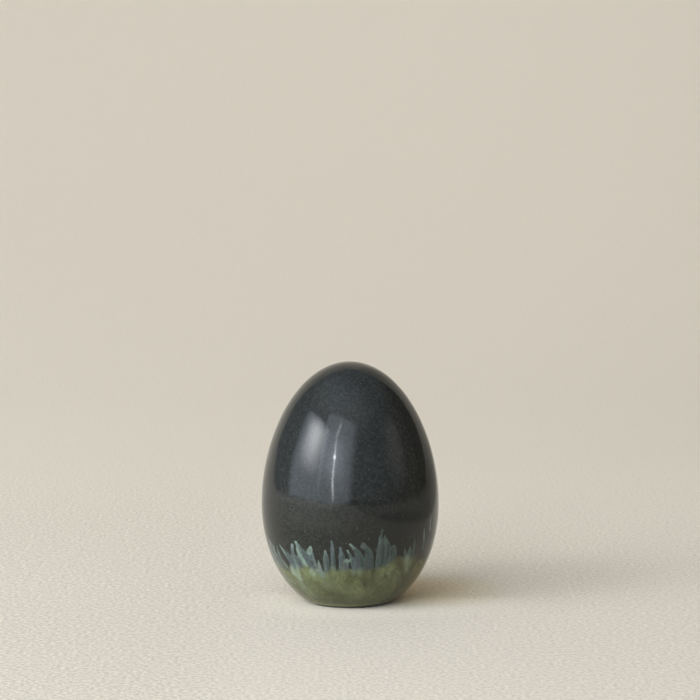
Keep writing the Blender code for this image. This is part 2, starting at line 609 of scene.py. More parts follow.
@dataclass(frozen=True)
class Brushwork:
    """The grass blades and washes round the egg, painted into attributes of its mesh.

    Azimuths are in degrees and lengths in millimetres. In the tables of marks, a row gives the path from
    tip to base, the width, the pigment and the tip's own pigment, and then the strength, tip, base and
    softness.

    Attributes:
        outline: the egg's side, which the marks lie on.
        seed: starts the random marks of the hidden sides.
        hidden: azimuths of the first and last marks that the photograph doesn't show.
        tall: the thin blades that stand out of the others.
        short: the other blades.
        tall_share: share of the hidden blades that are tall.
        edged_share: share of them that have a light edge on one side.
        patched_share: share of them that have a mint patch.
        wide_gap_share: share of the gaps between them that are wide.
        slit_gap: a gap wider than this shows the dark body.
        steepest: how far a hidden blade leans at most, from tip to base.
        reach: how far past its edge a mark is measured.
        outside: depth of the points that no mark is near.
        grain_stretch: factor on the grain along a mark; below 1 it draws the grain out.
        grain_shift: how far each mark's grain is moved on from the last one's.
        shore: border between the blades and the green band, as azimuths and heights.
    """

    outline: EggOutline
    seed: int = 11
    hidden: Span = (73.0, 281.0)
    tall: BladeKind = BladeKind(rise=(9.0, 12.5), width=(0.6, 0.9))
    short: BladeKind = BladeKind(rise=(4.4, 8.6), width=(1.1, 2.1))
    tall_share: float = 0.14
    edged_share: float = 0.45
    patched_share: float = 0.20
    wide_gap_share: float = 0.16
    slit_gap: float = 4.4
    steepest: float = 6.5
    reach: float = 1.6
    outside: float = -4.0
    grain_stretch: float = 0.12
    grain_shift: float = 7.3
    shore: Path = (
        (-160.0, 15.4), (-130.0, 14.0), (-100.0, 13.2), (-80.0, 12.6), (-67.0, 12.2), (-53.0, 11.3),
        (-45.0, 12.8), (-39.3, 13.2), (-34.4, 13.9), (-30.5, 13.5), (-26.0, 12.6), (-18.8, 12.6),
        (-16.0, 13.2), (-12.5, 14.3), (-9.6, 12.9), (-6.6, 13.8), (-0.6, 14.0), (5.1, 13.7), (14.2, 14.1),
        (17.1, 13.6), (19.8, 14.2), (25.7, 15.2), (30.7, 16.3), (38.0, 16.6), (48.0, 16.0), (59.4, 14.6),
        (68.3, 13.9), (85.0, 14.0), (110.0, 15.2), (140.0, 13.8), (170.0, 14.6))

    def shore_height(self, azimuth: np.ndarray | float) -> np.ndarray:
        """Height of the border between the blades and the green band."""
        azimuths, heights = np.array(self.shore).T
        return np.interp(azimuth, azimuths, heights, period=360.0)

    @staticmethod
    def front_blades() -> list[Stroke]:
        """The blades on the photographed side, from left to right, each laid over those before it."""
        slate, dusk, teal, deep = Pigment.SLATE, Pigment.DUSK, Pigment.TEAL, Pigment.DEEP
        pale, mint, bare = Pigment.PALE, Pigment.MINT, Pigment.BARE
        return [
            # The left rim, where faint blades run together
            Stroke(((-84.0, 20.4), (-80.0, 17.0), (-77.0, 12.4)), 2.2, slate, None, 0.65, 0.4, 1.2, 0.6),
            Stroke(((-72.6, 20.6), (-69.6, 18.8), (-67.0, 16.4)), 2.0, pale, None, 0.55, 0.5, 1.2, 0.7),
            Stroke(((-68.6, 19.4), (-67.0, 16.6), (-64.4, 12.6)), 2.6, slate, pale, 0.75, 0.4, 1.2, 0.6),
            Stroke(((-73.0, 18.4), (-70.5, 15.6), (-68.4, 12.4)), 1.4, mint, slate, 0.50, 0.4, 1.3, 0.5),
            Stroke(((-63.6, 19.4), (-64.6, 17.6), (-63.6, 15.8)), 1.2, mint, pale, 0.55, 0.4, 1.0, 0.5),
            Stroke(((-61.4, 16.4), (-60.9, 14.9), (-59.7, 13.3)), 1.3, dusk, None, 0.80, 0.6, 1.1, 0.4),
            Stroke(((-58.8, 19.0), (-58.4, 16.5), (-55.5, 14.2), (-51.9, 12.4)),
                   1.1, mint, slate, 0.55, 0.5, 1.1, 0.3),
            Stroke(((-58.4, 16.0), (-57.4, 14.2), (-56.0, 12.6)), 1.2, slate, teal, 0.80, 0.5, 1.3, 0.35),
            # Three leaning blades and a rounded upright one between them
            Stroke(((-54.8, 19.4), (-50.2, 17.4), (-46.9, 15.6), (-45.0, 12.6)),
                   2.0, slate, dusk, 1.0, 0.25, 1.1),
            Stroke(((-55.0, 19.7), (-52.6, 18.2), (-50.4, 17.0)), 0.75, mint, mint, 0.90, 0.5, 0.7),
            Stroke(((-50.0, 18.0), (-46.5, 16.7), (-44.6, 14.9), (-44.0, 12.9)),
                   1.5, slate, teal, 0.84, 0.5, 1.3),
            Stroke(((-47.6, 16.2), (-46.2, 14.8), (-45.4, 12.8)), 0.7, dusk, None, 0.80, 0.5, 1.2),
            Stroke(((-40.6, 17.2), (-40.2, 15.4), (-39.6, 13.4)), 1.8, slate, teal, 0.95, 0.35, 1.3),
            Stroke(((-38.9, 17.2), (-38.2, 15.8), (-36.0, 14.2)), 1.3, slate, dusk, 0.90, 0.4, 1.2),
            Stroke(((-41.9, 20.3), (-42.3, 18.6), (-42.6, 16.2), (-43.6, 12.9)),
                   1.5, slate, pale, 1.0, 0.85, 1.2),
            Stroke(((-42.6, 17.0), (-42.0, 15.2), (-41.4, 13.2)), 0.6, mint, None, 0.55, 0.4, 1.2),
            Stroke(((-38.2, 21.3), (-35.3, 19.6), (-31.6, 17.6), (-25.6, 13.4)),
                   1.6, slate, mint, 1.0, 0.75, 1.35),
            Stroke(((-37.4, 21.3), (-33.6, 19.2), (-30.0, 17.2)), 0.5, slate, pale, 0.70, 0.6, 0.9),
            Stroke(((-39.0, 21.2), (-37.6, 20.3), (-35.4, 18.8)), 0.5, pale, None, 0.85, 0.8, 0.8),
            Stroke(((-34.6, 18.6), (-32.0, 16.8), (-29.0, 14.4)), 0.7, dusk, None, 0.80, 0.5, 1.2),
            # The peaked blade with a mint head
            Stroke(((-28.6, 18.9), (-27.9, 17.0), (-26.6, 14.0)), 2.5, slate, slate, 0.95, 0.75, 1.1),
            Stroke(((-27.0, 20.4), (-27.6, 19.5), (-28.4, 18.6)), 1.8, mint, mint, 0.92, 0.55, 0.8, 0.2),
            Stroke(((-30.0, 19.4), (-28.4, 19.5), (-27.2, 19.4)), 0.9, mint, pale, 0.80, 0.4, 1.0),
            Stroke(((-26.0, 19.6), (-25.7, 17.8), (-25.0, 15.0), (-24.0, 13.2)),
                   0.6, pale, mint, 0.75, 0.4, 1.2),
            Stroke(((-29.6, 15.2), (-26.4, 14.0), (-23.6, 12.8)), 1.2, dusk, None, 0.80, 0.7, 1.0),
            # Mint blade under the leaning ones
            Stroke(((-38.2, 19.7), (-36.9, 18.0), (-35.0, 16.4), (-32.2, 14.6)),
                   1.75, mint, mint, 1.0, 0.45, 0.75),
            Stroke(((-38.4, 15.6), (-37.6, 14.4), (-36.8, 13.2)), 0.8, dusk, None, 0.60, 0.4, 1.3, 0.3),
            Stroke(((-31.4, 15.3), (-29.6, 14.4), (-27.6, 13.4)), 1.2, slate, None, 0.85, 0.7, 1.0),
            # Short spike, then three upright blades
            Stroke(((-22.4, 16.4), (-22.0, 14.8), (-20.6, 12.2)), 1.0, pale, mint, 1.0, 0.45, 1.6),
            Stroke(((-16.7, 19.6), (-16.6, 17.6), (-16.6, 12.8)), 1.9, slate, pale, 0.95, 0.4, 1.15),
            Stroke(((-15.5, 17.6), (-15.4, 15.4), (-15.2, 13.0)), 0.6, teal, None, 0.60, 0.5, 1.2),
            Stroke(((-17.8, 18.6), (-18.2, 16.2), (-18.4, 13.2)), 0.5, pale, None, 0.55, 0.5, 1.2),
            Stroke(((-12.0, 22.6), (-11.9, 20.2), (-11.8, 17.6), (-12.0, 13.6)),
                   1.25, slate, None, 0.95, 0.6, 1.25),
            Stroke(((-11.1, 19.4), (-10.9, 17.0), (-10.9, 14.6)), 0.6, teal, None, 0.75, 0.4, 1.1),
            Stroke(((-6.6, 20.7), (-6.2, 18.4), (-5.9, 13.6)), 1.55, slate, None, 0.97, 0.5, 1.2),
            Stroke(((-5.4, 19.6), (-4.6, 17.6), (-4.0, 14.0)), 0.9, teal, slate, 0.85, 0.4, 1.3),
            Stroke(((-6.4, 17.6), (-6.3, 15.8), (-6.2, 13.8)), 0.5, dusk, None, 0.80, 0.5, 1.2),
            # Narrow blade, mint patch and violet patch
            Stroke(((-1.9, 19.9), (-0.5, 18.6), (0.8, 17.0), (1.4, 15.2)), 0.95, teal, mint, 0.95, 0.6, 1.3),
            Stroke(((-3.7, 16.0), (-2.2, 16.6), (-0.6, 16.9)), 1.4, mint, None, 0.84, 0.7, 1.0, 0.50),
            Stroke(((-3.2, 16.2), (-2.2, 15.6)), 1.2, mint, None, 0.70, 0.8, 1.0, 0.40),
            Stroke(((-3.4, 15.6), (-3.0, 14.8), (-2.7, 14.0)), 1.5, dusk, None, 0.90, 0.8, 1.0, 0.3),
            # Broad leaning blade with a pale tip
            Stroke(((-0.1, 21.8), (2.7, 20.2), (6.1, 17.8), (8.4, 13.8)), 1.7, teal, pale, 0.95, 0.45, 1.65),
            Stroke(((0.0, 21.8), (0.9, 21.2), (1.8, 20.5)), 0.8, mint, pale, 0.75, 0.7, 0.7),
            Stroke(((2.6, 19.6), (4.4, 17.6), (5.2, 14.6)), 0.7, dusk, None, 0.60, 0.4, 1.4),
            Stroke(((6.4, 18.2), (7.8, 16.4), (8.8, 14.0)), 0.7, teal, None, 0.60, 0.4, 1.3),
            # Blade with a rounded pale head
            Stroke(((9.0, 21.2), (12.0, 19.4), (13.2, 17.2), (13.3, 13.8)), 2.3, teal, teal, 0.70, 0.6, 1.1),
            Stroke(((8.7, 18.6), (10.2, 17.0), (10.6, 13.8)), 1.3, teal, deep, 0.85, 0.4, 1.2),
            Stroke(((8.4, 21.6), (8.1, 21.2), (7.9, 20.8)), 1.6, slate, slate, 0.75, 0.9, 1.0, 0.25),
            Stroke(((10.6, 21.3), (12.9, 19.4), (14.3, 17.4)), 0.5, slate, None, 0.65, 0.5, 1.0),
            Stroke(((12.4, 17.4), (12.5, 15.6), (12.3, 14.0)), 1.0, dusk, None, 0.55, 0.5, 1.2, 0.3),
            Stroke(((1.9, 17.4), (2.4, 15.6), (3.0, 13.8)), 1.5, slate, dusk, 0.85, 0.8, 1.0),
            # The tall twin blade
            Stroke(((20.5, 25.2), (19.8, 22.6), (19.4, 19.4), (19.7, 14.0)),
                   1.6, teal, teal, 0.90, 0.2, 1.25),
            Stroke(((20.4, 26.8), (20.4, 25.4), (20.2, 23.8)), 0.5, teal, slate, 0.65, 0.4, 1.2, 0.25),
            Stroke(((22.6, 23.9), (24.0, 21.6), (24.8, 18.4), (24.6, 14.8)),
                   2.4, teal, teal, 0.80, 0.3, 1.2),
            Stroke(((20.6, 23.0), (20.9, 19.6), (21.4, 15.0)), 1.7, teal, teal, 0.75, 0.4, 1.1),
            Stroke(((26.8, 19.6), (27.0, 17.6), (26.8, 15.4)), 1.6, teal, teal, 0.85, 0.5, 1.2),
            Stroke(((29.6, 19.9), (30.0, 18.8), (30.2, 16.0)), 2.2, teal, teal, 0.72, 0.95, 1.05),
            Stroke(((19.2, 24.2), (18.9, 23.0), (18.7, 21.6)), 0.6, pale, slate, 0.55, 0.6, 0.9),
            Stroke(((19.6, 22.4), (19.2, 19.2), (19.3, 15.0)), 0.6, slate, pale, 0.75, 0.4, 1.0),
            Stroke(((23.2, 23.2), (23.8, 20.2), (24.4, 16.8)), 0.5, slate, None, 0.65, 0.4, 1.0),
            Stroke(((23.2, 22.4), (24.4, 19.4), (24.9, 15.8)), 0.6, slate, pale, 0.60, 0.5, 1.2),
            Stroke(((21.8, 23.6), (22.0, 19.9), (22.6, 15.6)), 0.7, deep, None, 0.90, 0.7, 0.9),
            Stroke(((25.4, 21.4), (25.8, 19.0), (26.0, 15.9)), 0.6, deep, None, 0.62, 0.6, 1.0),
            Stroke(((28.0, 19.8), (28.3, 18.6), (28.4, 17.6)), 0.4, deep, None, 0.40, 0.5, 1.0),
            Stroke(((27.8, 18.2), (27.4, 16.6), (26.8, 14.6)), 1.1, slate, teal, 0.75, 0.4, 1.3),
            # Faint blades towards the right rim
            Stroke(((38.4, 19.4), (40.0, 17.8), (41.0, 15.8)), 0.9, teal, deep, 0.80, 0.5, 1.5),
            Stroke(((43.3, 19.7), (43.8, 18.0), (44.6, 15.6)), 1.7, teal, teal, 0.75, 0.4, 1.25),
            Stroke(((46.8, 22.8), (47.4, 19.8), (48.8, 15.4)), 0.9, teal, slate, 0.70, 0.25, 1.3),
            Stroke(((51.0, 22.4), (52.4, 19.4), (54.0, 16.0)), 0.4, deep, None, 0.55, 0.6, 1.2),
            Stroke(((56.0, 24.4), (56.8, 22.4), (57.8, 20.2), (58.6, 18.0)),
                   1.2, teal, slate, 0.80, 0.5, 1.3),
            Stroke(((55.9, 24.2), (56.6, 22.6), (57.4, 20.8)), 0.6, pale, None, 0.70, 0.6, 1.0),
            Stroke(((63.8, 28.4), (63.9, 26.0), (64.2, 22.8)), 0.7, mint, slate, 0.75, 0.5, 1.1, 0.2),
            Stroke(((63.9, 23.0), (63.6, 19.4), (63.8, 16.0)), 0.8, teal, deep, 0.55, 0.6, 1.4, 0.3),
            Stroke(((67.6, 24.0), (66.8, 20.0), (67.4, 15.4)), 0.7, deep, deep, 0.18, 0.4, 1.4, 0.3),
            Stroke(((71.6, 27.0), (71.0, 21.6), (71.4, 15.2)), 0.8, deep, deep, 0.15, 0.4, 1.4, 0.3),
            # Dark body left bare between the blades
            Stroke(((-56.0, 19.2), (-54.9, 17.3), (-52.6, 15.4), (-50.6, 12.5)),
                   0.95, bare, None, 1.0, 0.35, 1.25),
            Stroke(((-39.4, 21.0), (-39.3, 19.6), (-40.0, 17.8)), 0.55, bare, None, 0.90, 0.9, 0.5),
            Stroke(((-45.4, 18.4), (-45.0, 17.8)), 0.5, bare, None, 0.60, 0.8, 0.8),
            Stroke(((-27.8, 15.9), (-27.5, 15.6), (-27.2, 15.2)), 0.6, bare, None, 0.75, 0.9, 0.9, 0.2),
            Stroke(((-22.6, 19.4), (-21.6, 17.0), (-20.5, 15.2), (-19.8, 13.2)),
                   0.75, bare, None, 1.0, 0.9, 0.8),
            Stroke(((-14.2, 19.0), (-14.0, 16.4), (-14.3, 14.2)), 0.55, bare, None, 1.0, 0.9, 0.6),
            Stroke(((-9.2, 19.8), (-9.1, 16.8), (-9.5, 13.0)), 1.1, bare, None, 1.0, 0.8, 0.55),
            Stroke(((-2.6, 18.6), (-1.9, 17.9), (-1.0, 17.2)), 0.8, bare, None, 1.0, 0.8, 0.7),
            Stroke(((-0.9, 15.7), (-0.4, 14.4), (0.6, 12.9)), 0.65, bare, None, 0.95, 0.6, 0.7),
            Stroke(((0.4, 20.6), (1.7, 19.2), (2.6, 17.7)), 0.75, bare, None, 0.90, 0.8, 0.7),
            Stroke(((6.5, 20.4), (7.6, 19.3), (9.3, 17.7)), 0.85, bare, None, 0.95, 0.9, 0.5),
            Stroke(((15.9, 19.2), (16.6, 16.0), (17.2, 13.2)), 0.55, bare, None, 1.0, 1.0, 0.9),
            Stroke(((40.8, 20.4), (41.2, 19.0), (41.4, 18.0)), 0.6, bare, None, 0.80, 0.9, 0.6),
        ]

    def hidden_blades(self) -> list[Stroke]:
        """Blades of the same kinds for the sides and the back, which the photograph doesn't show."""
        random = np.random.default_rng(self.seed)
        pigments = (Pigment.SLATE, Pigment.TEAL, Pigment.DUSK, Pigment.SLATE)
        tip_pigments = (Pigment.PALE, Pigment.MINT, Pigment.PALE, None)
        blades = []
        azimuth, last = self.hidden
        lean = 1.0
        while azimuth < last:
            shore = float(self.shore_height(azimuth))
            lean = float(np.clip(lean + random.normal(0.0, 2.6), -self.steepest, self.steepest))
            kind = self.tall if random.random() < self.tall_share else self.short
            top = shore + random.uniform(*kind.rise)
            width = random.uniform(*kind.width)
            pigment = pigments[int(random.integers(4))]
            tip_pigment = tip_pigments[int(random.integers(4))]
            strength = float(random.uniform(0.75, 1.0))
            middle = 0.45 * (top + shore) + 0.8
            path = ((azimuth - lean, top), (azimuth - 0.55 * lean, middle), (azimuth + 0.3, shore - 1.2))
            base = random.uniform(1.0, 1.5)
            blades.append(Stroke(path, width, pigment, tip_pigment, strength, 0.3, base))
            if random.random() < self.edged_share:
                side = random.choice((-1.0, 1.0)) * 0.42 * width * 2.2
                light_edge = tuple((place + side, height - 0.9) for place, height in path)
                blades.append(Stroke(light_edge, 0.42, Pigment.PALE, Pigment.MINT, 0.6))
            if random.random() < self.patched_share:
                patch = ((azimuth, shore + 3.6), (azimuth + 1.0, shore + 1.4))
                blades.append(Stroke(patch, 1.3, Pigment.MINT, None, 0.65, 0.5, 1.0, 0.4))
            gap = 3.4 + 2.2 * random.random() + (4.6 if random.random() < self.wide_gap_share else 0.0)
            if gap > self.slit_gap:
                slit = ((azimuth + 0.5 * gap - 0.4, shore + 4.0), (azimuth + 0.5 * gap, shore - 0.8))
                blades.append(Stroke(slit, 0.8, Pigment.BARE, None, 1.0, 0.6, 0.7))
            azimuth += gap
        return blades

    @staticmethod
    def front_washes() -> list[Stroke]:
        """Soft runs and stains of the green band on the photographed side, and painted light and shade
        across it.
        """
        celadon, lemon, moss = Pigment.CELADON, Pigment.LEMON, Pigment.MOSS
        olive, rust, mint, dusk = Pigment.OLIVE, Pigment.RUST, Pigment.MINT, Pigment.DUSK
        pale, bare = Pigment.PALE, Pigment.BARE
        return [
            # Painted light on the left of the band and painted shade on its right
            Stroke(((-66.0, 12.4), (-50.0, 10.0), (-38.0, 8.0)), 5.0, moss, None, 0.22, 0.8, 1.2, 2.0),
            Stroke(((-24.0, 12.0), (-14.0, 9.0), (-8.0, 7.0)), 5.0, moss, None, 0.30, 0.8, 1.2, 2.0),
            Stroke(((50.0, 10.0), (53.0, 6.4), (56.0, 2.0)), 7.5, olive, None, 0.90, 0.8, 1.2, 2.5),
            Stroke(((20.0, 8.0), (28.0, 5.0), (38.0, 2.0)), 6.0, olive, None, 0.48, 0.8, 1.2, 2.5),
            # A faint lighter wash above the blades on the left
            Stroke(((-38.0, 28.8), (-24.0, 28.4), (-10.0, 28.0)), 4.0, celadon, None, 0.030, 0.9, 1.0, 2.4),
            # Pale runs on the left
            Stroke(((-66.6, 12.8), (-64.0, 10.4), (-60.6, 8.0)), 1.8, celadon, None, 0.34, 0.7, 0.9, 0.9),
            Stroke(((-59.6, 11.8), (-56.0, 9.4), (-52.8, 7.2)), 1.6, lemon, None, 0.24, 0.7, 0.9, 0.9),
            Stroke(((-46.8, 13.2), (-47.8, 12.2), (-48.0, 11.0)), 2.1, celadon, mint, 0.95, 0.7, 0.8, 0.8),
            Stroke(((-45.6, 11.4), (-44.6, 10.2)), 1.6, celadon, None, 0.70, 0.8, 0.8, 0.9),
            Stroke(((-41.2, 13.8), (-42.0, 12.0), (-42.6, 9.6)), 1.5, celadon, mint, 0.85, 0.7, 0.8, 0.7),
            Stroke(((-45.4, 11.0), (-44.0, 8.8), (-42.8, 6.8)), 1.5, celadon, None, 0.50, 0.8, 0.6, 0.9),
            Stroke(((-49.0, 8.8), (-45.6, 6.0), (-42.2, 3.8)), 0.8, celadon, None, 0.40, 0.7, 0.6, 0.7),
            Stroke(((-41.4, 7.0), (-38.6, 5.0), (-35.0, 3.2)), 0.7, celadon, None, 0.40, 0.7, 0.8, 0.5),
            Stroke(((-39.0, 13.2), (-38.4, 11.9)), 1.3, olive, None, 0.28, 0.8, 0.8, 0.8),
            Stroke(((-34.2, 15.2), (-33.2, 14.2)), 1.4, celadon, None, 0.55, 0.8, 0.8, 0.8),
            Stroke(((-33.4, 14.2), (-33.8, 12.8), (-35.4, 11.4)), 2.0, moss, None, 0.30, 0.7, 1.0, 0.9),
            Stroke(((-39.0, 12.2), (-38.4, 11.0)), 0.9, rust, None, 0.35, 0.8, 1.0, 0.6),
            Stroke(((-31.2, 13.0), (-29.6, 12.6), (-28.4, 12.0)), 2.1, celadon, moss, 0.84, 0.9, 0.9, 1.1),
            Stroke(((-24.0, 13.0), (-22.4, 12.2), (-20.8, 11.4)), 1.6, mint, celadon, 0.66, 0.7, 0.9, 0.9),
            Stroke(((-37.0, 12.6), (-33.3, 11.3), (-26.6, 10.4)), 2.2, lemon, None, 0.36, 0.8, 1.0, 1.3),
            Stroke(((-22.0, 9.8), (-19.6, 8.0)), 2.6, celadon, None, 0.15, 0.8, 1.0, 1.2),
            Stroke(((-24.6, 11.2), (-22.4, 9.6)), 1.3, moss, None, 0.50, 0.8, 0.8, 0.8),
            Stroke(((-12.4, 14.2), (-12.2, 12.8)), 1.4, moss, lemon, 0.45, 0.7, 1.0, 0.7),
            Stroke(((-5.6, 14.2), (-5.6, 12.4)), 1.6, moss, None, 0.50, 0.7, 1.0, 0.8),
            Stroke(((-61.6, 5.8), (-58.0, 3.4), (-53.0, 1.6)), 1.5, rust, None, 0.40, 0.7, 1.0, 0.9),
            # Blade colour that ran down into the band
            Stroke(((1.8, 14.0), (2.1, 12.3)), 1.2, mint, pale, 0.42, 0.7, 0.8, 0.6),
            Stroke(((7.0, 13.8), (6.8, 12.2)), 1.7, celadon, None, 0.26, 0.7, 0.8, 0.9),
            Stroke(((28.0, 14.6), (29.0, 13.2), (30.2, 11.4)), 2.0, celadon, None, 0.14, 0.7, 0.8, 0.9),
            Stroke(((18.8, 13.8), (20.4, 12.0)), 2.0, moss, None, 0.30, 0.7, 0.9, 0.9),
            Stroke(((42.6, 16.2), (44.6, 13.8), (46.6, 11.6)), 2.2, celadon, None, 0.36, 0.9, 0.45, 0.7),
            # Painted shade near the right rim: dark olive and bare body
            Stroke(((55.0, 15.6), (58.6, 13.6), (61.6, 11.0)), 2.2, olive, None, 0.60, 0.7, 0.9, 1.0),
            Stroke(((50.6, 20.0), (52.6, 17.4), (54.6, 14.8)), 1.7, bare, None, 0.95, 0.8, 1.0, 0.7),
            # Dark stains and runs, and darker bands low down towards the foot
            Stroke(((-6.0, 4.4), (3.0, 4.4), (14.0, 4.2)), 2.6, olive, None, 0.34, 0.9, 1.0, 1.3),
            Stroke(((17.6, 13.4), (20.4, 11.8)), 1.6, olive, None, 0.45, 0.9, 1.0, 0.8),
            Stroke(((0.0, 12.8), (0.5, 11.4)), 0.7, olive, None, 0.50, 0.7, 0.7, 0.5),
            Stroke(((15.8, 13.2), (16.2, 11.6), (15.6, 10.0)), 1.1, olive, None, 0.70, 0.7, 0.9, 0.6),
            Stroke(((17.2, 13.4), (17.4, 12.6)), 0.6, bare, None, 0.50, 0.8, 0.8, 0.4),
            Stroke(((9.6, 10.8), (11.2, 9.4), (12.0, 8.0)), 1.7, olive, None, 0.74, 0.6, 1.0, 0.8),
            Stroke(((26.4, 11.5), (27.6, 10.7)), 0.9, olive, None, 0.95, 0.9, 1.0, 0.5),
            Stroke(((10.8, 10.0), (11.4, 8.7)), 1.0, olive, None, 0.85, 0.9, 1.0, 0.5),
            Stroke(((35.0, 16.2), (36.6, 14.8), (38.4, 13.2)), 2.5, olive, None, 0.85, 0.8, 0.9, 0.6),
            Stroke(((34.0, 16.4), (35.6, 15.6)), 1.4, rust, None, 0.25, 0.8, 0.9, 0.6),
            Stroke(((31.0, 15.8), (32.4, 14.8)), 1.3, olive, None, 0.55, 0.8, 0.9, 0.6),
            Stroke(((38.8, 13.8), (41.8, 11.8), (46.0, 9.2)), 1.2, olive, None, 0.70, 0.7, 1.3, 0.7),
            Stroke(((46.8, 13.6), (48.8, 11.6), (50.6, 9.4)), 1.1, olive, None, 0.60, 0.7, 1.2, 0.7),
            Stroke(((40.0, 10.2), (44.0, 7.4), (51.0, 4.4)), 2.0, olive, None, 0.65, 0.7, 1.2, 1.2),
            Stroke(((50.4, 16.0), (52.0, 14.4), (51.6, 12.6)), 1.9, olive, None, 0.90, 0.8, 0.9, 0.7),
            Stroke(((30.0, 11.0), (33.0, 8.4), (35.4, 6.6)), 1.3, olive, None, 0.30, 0.6, 1.0, 0.9),
            Stroke(((-21.4, 5.2), (-14.0, 5.1), (-7.6, 4.6)), 2.4, olive, None, 0.58, 0.7, 1.1, 1.1),
            Stroke(((-11.0, 6.4), (-8.0, 5.0)), 1.6, olive, None, 0.34, 0.8, 1.0, 1.0),
            Stroke(((-32.0, 2.6), (-8.0, 2.6), (20.0, 2.4)), 2.8, olive, None, 0.72, 0.9, 1.0, 1.6),
            Stroke(((6.4, 7.2), (7.2, 4.8)), 2.6, lemon, None, 0.13, 0.8, 1.0, 1.2),
            # Two pin marks in the dark body
            Stroke(((-12.4, 33.4), (-12.3, 33.0)), 0.5, dusk, None, 0.60, 1.0, 1.0, 0.2),
            Stroke(((-12.6, 32.2), (-12.5, 31.9)), 0.4, dusk, None, 0.40, 1.0, 1.0, 0.2),
        ]

    def hidden_washes(self) -> list[Stroke]:
        """Soft runs and stains of the green band for the sides and the back."""
        random = np.random.default_rng(self.seed + 1)
        kinds = (
            (Pigment.CELADON, 0.55, 1.3, 3.6),
            (Pigment.LEMON, 0.45, 1.2, 1.8),
            (Pigment.MOSS, 0.6, 1.6, 2.2),
            (Pigment.OLIVE, 0.5, 1.8, 2.6),
            (Pigment.RUST, 0.4, 1.6, 2.4),
        )
        washes = []
        for azimuth in np.arange(self.hidden[0] - 3.0, self.hidden[1] + 4.0, 5.2):
            pigment, strength, width, drop = kinds[int(random.integers(len(kinds)))]
            start = float(azimuth + random.uniform(-2.0, 2.0))
            top = float(self.shore_height(start)) + random.uniform(-2.4, 0.6)
            run = drop * random.uniform(0.5, 1.3)
            path = ((start, top), (start + random.uniform(-3.0, 3.0), max(top - run, 2.0)))
            width = width * random.uniform(0.7, 1.3)
            strength = strength * random.uniform(0.6, 1.1)
            washes.append(Stroke(path, width, pigment, None, strength, 0.7, 0.8, 0.8))
        return washes

    def paint(self, mesh: bpy.types.Mesh) -> None:
        """Write the marks into the mesh as point attributes.

        Args:
            mesh: the egg's mesh, in metres and in the part's frame.
        """
        flat = np.empty(3 * len(mesh.vertices), dtype=np.float32)
        mesh.vertices.foreach_get("co", flat)
        points = flat.reshape(-1, 3).astype(float) / MM
        azimuth = np.degrees(np.arctan2(points[:, 0], -points[:, 1]))
        edge, cover, colour, grain = self._lay(points, self.hidden_blades() + self.front_blades())
        wash_light_and_shade_cover, wash_light_and_shade_colour = self._wash(points, self.hidden_washes() + self.front_washes())
        layers = {
            "blade_edge": edge,
            "blade_cover": cover,
            "blade_colour": colour,
            "blade_grain": grain,
            "wash_light_and_shade_cover": wash_light_and_shade_cover,
            "wash_light_and_shade_colour": wash_light_and_shade_colour,
            "shore": points[:, 2] - self.shore_height(azimuth),
        }
        for name, values in layers.items():
            self._store(mesh, name, values)

    def _lay(self, points: np.ndarray, strokes: list[Stroke]) -> tuple[np.ndarray, ...]:
        """Lay crisp marks over each other.

        Args:
            points: the mesh's points in millimetres.
            strokes: the marks, from the lowest to the topmost.

        Returns:
            How deep each point is inside the marks in millimetres, how strong the paint is there, its
            colour, and its place across and along the brush's pull.
        """
        edge = np.full(len(points), self.outside)
        cover = np.zeros(len(points))
        colour = np.tile(np.array(Pigment.SLATE.value), (len(points), 1))
        grain = np.zeros((len(points), 3))
        for number, stroke in enumerate(strokes):
            near, depth, share, across, along = self._measure(points, stroke)
            weight = smooth(depth, -stroke.softness, stroke.softness)
            if stroke.pigment is Pigment.BARE:
                cover[near] *= 1.0 - stroke.strength * weight
                continue
            first = (edge[near] < 0.0) & (depth > edge[near])
            weight = np.where(first, 1.0, weight)
            cover[near] += (stroke.strength - cover[near]) * weight
            colour[near] += (stroke.colours(share) - colour[near]) * weight[:, None]
            shift = np.full(len(near), self.grain_shift * number)
            place = np.stack([across, self.grain_stretch * along, shift], axis=1)
            grain[near] = np.where((weight > 0.5)[:, None], place, grain[near])
            edge[near] = np.maximum(edge[near], depth)
        return edge, cover, colour, grain

    def _wash(self, points: np.ndarray, strokes: list[Stroke]) -> tuple[np.ndarray, np.ndarray]:
        """Lay soft washes over each other.

        Args:
            points: the mesh's points in millimetres.
            strokes: the washes, from the lowest to the topmost.

        Returns:
            How much of the wash covers each point, and its colour.
        """
        cover = np.zeros(len(points))
        colour = np.tile(np.array(Pigment.MOSS.value), (len(points), 1))
        for stroke in strokes:
            near, depth, share, _, _ = self._measure(points, stroke)
            laid = stroke.strength * smooth(depth, -stroke.softness, stroke.softness)
            total = laid + cover[near] * (1.0 - laid)
            blend = np.divide(laid, total, out=np.zeros_like(laid), where=total > 1e-6)
            colour[near] += (stroke.colours(share) - colour[near]) * blend[:, None]
            cover[near] = total
        return cover, colour

